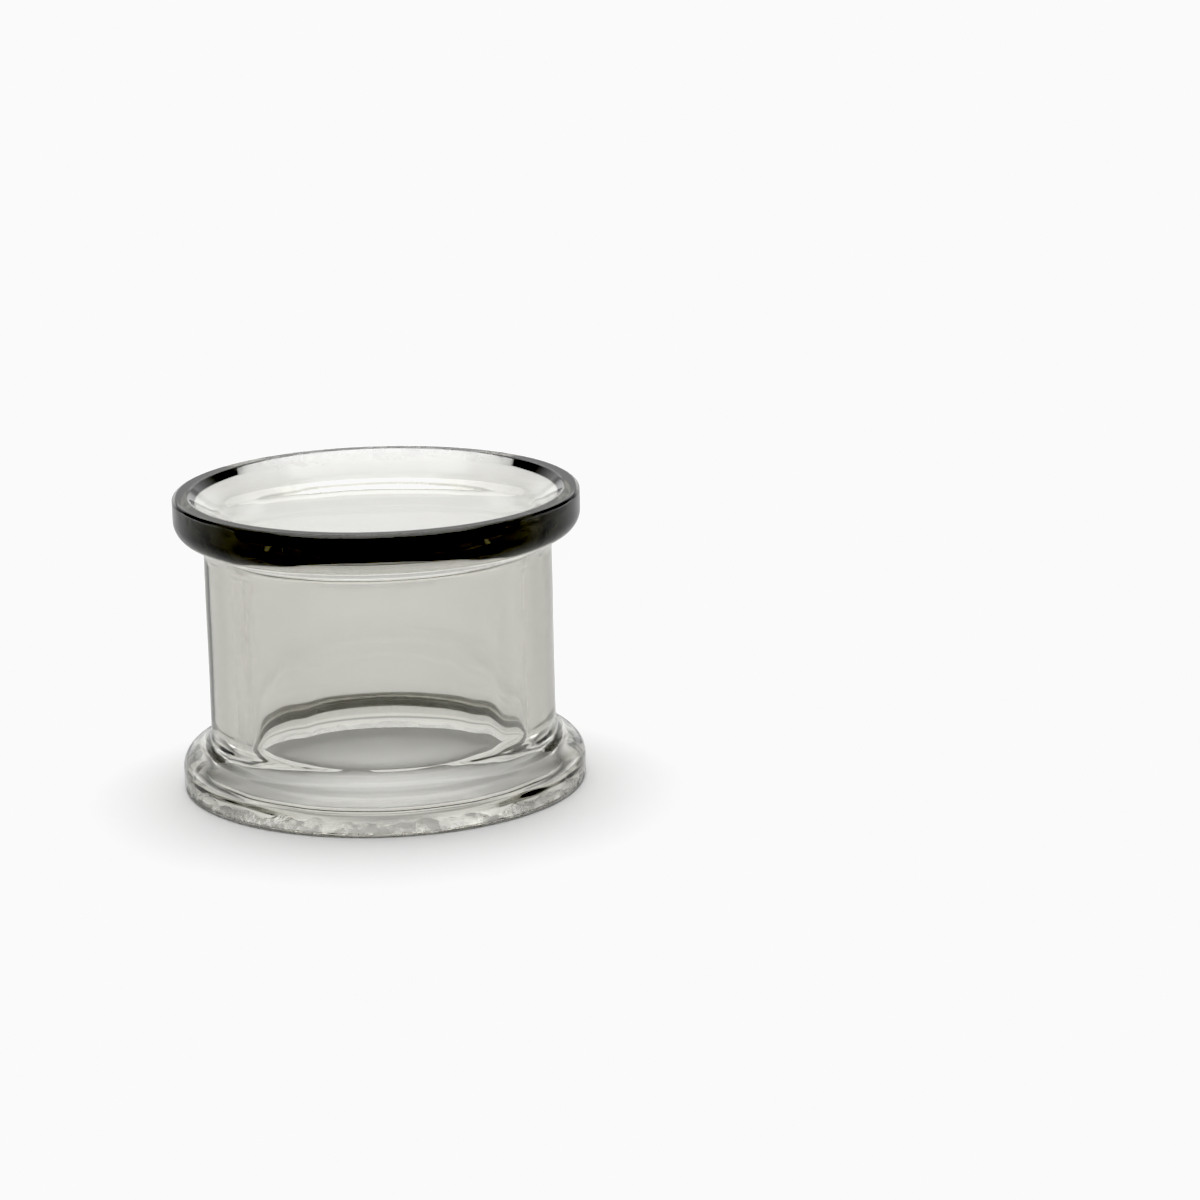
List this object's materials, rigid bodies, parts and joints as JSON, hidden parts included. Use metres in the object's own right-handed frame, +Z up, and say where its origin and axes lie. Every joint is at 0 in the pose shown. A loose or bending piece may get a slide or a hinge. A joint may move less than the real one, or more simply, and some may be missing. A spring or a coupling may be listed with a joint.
{
  "type": "double flare flesh tunnel",
  "caption": "Double flare flesh tunnel in lightly smoked clear glass: a short open tube with a funnel in each flared end.",
  "frame": {"origin": "centre of the lower flare's foot, on the surface that the tunnel stands on", "axes": "+Z up along the bore's axis, from the lower flare to the upper one; X and Y are alike"},
  "size_m": [0.0256, 0.0256, 0.019],
  "materials": {
    "smoked_glass": "fire-polished, with finely ground ends"
  },
  "bodies": {
    "root": {"tunnel_body": "smoked_glass"}
  },
  "joints": []
}
